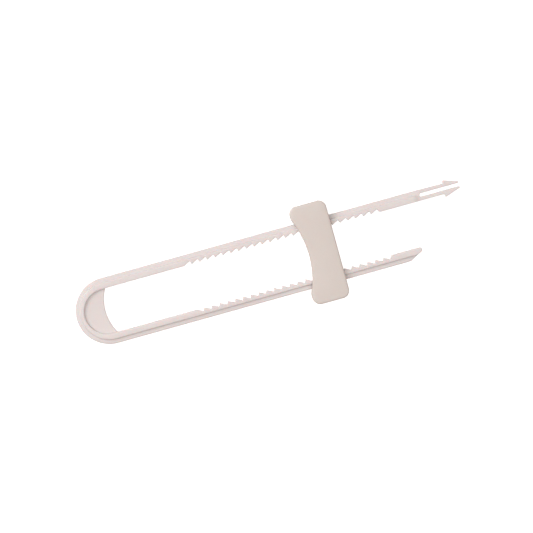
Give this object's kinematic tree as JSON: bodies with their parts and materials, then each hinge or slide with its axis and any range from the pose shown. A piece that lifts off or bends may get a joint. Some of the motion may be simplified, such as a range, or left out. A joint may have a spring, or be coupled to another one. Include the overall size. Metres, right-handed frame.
{
  "type": "cabinet slide lock",
  "caption": "U-shaped toothed plastic strap with a waisted slider that locks on its arms, to hold cabinet knobs or handles shut.",
  "frame": {"origin": "middle of the bounding box at the level of the slider's rear face", "axes": "+X along the arms from the bend to the open ends, +Y across the arms towards the long arm, +Z out of the front cover"},
  "size_m": [0.2, 0.05, 0.012],
  "materials": {
    "strap_plastic": "satin moulded, pinkish off-white",
    "slider_plastic": "satin moulded, warm light beige",
    "button_plastic": "satin moulded, warm light beige",
    "spring_plastic": "natural acetal, off-white"
  },
  "bodies": {
    "strap": {"strap": "strap_plastic"},
    "slider": {"front_cover": "slider_plastic", "rear_housing": "slider_plastic", "locking_spring": "spring_plastic"},
    "upper_button": {"upper_button": "button_plastic"},
    "lower_button": {"lower_button": "button_plastic"}
  },
  "joints": [
    {"name": "slider_slide", "type": "slide", "parent": "strap", "child": "slider", "axis": [1, 0, 0], "range_m": [-0.099, 0.0576], "deforming": ["locking_spring"]},
    {"name": "upper_button_press", "type": "slide", "parent": "slider", "child": "upper_button", "axis": [0, -1, 0], "range_m": [0, 0.0018], "stiffness_N_per_m": 600, "springref_m": -0.002, "deforming": ["locking_spring"]},
    {"name": "lower_button_press", "type": "slide", "parent": "slider", "child": "lower_button", "axis": [0, 1, 0], "range_m": [0, 0.0018], "stiffness_N_per_m": 600, "springref_m": -0.002, "deforming": ["locking_spring"]}
  ]
}
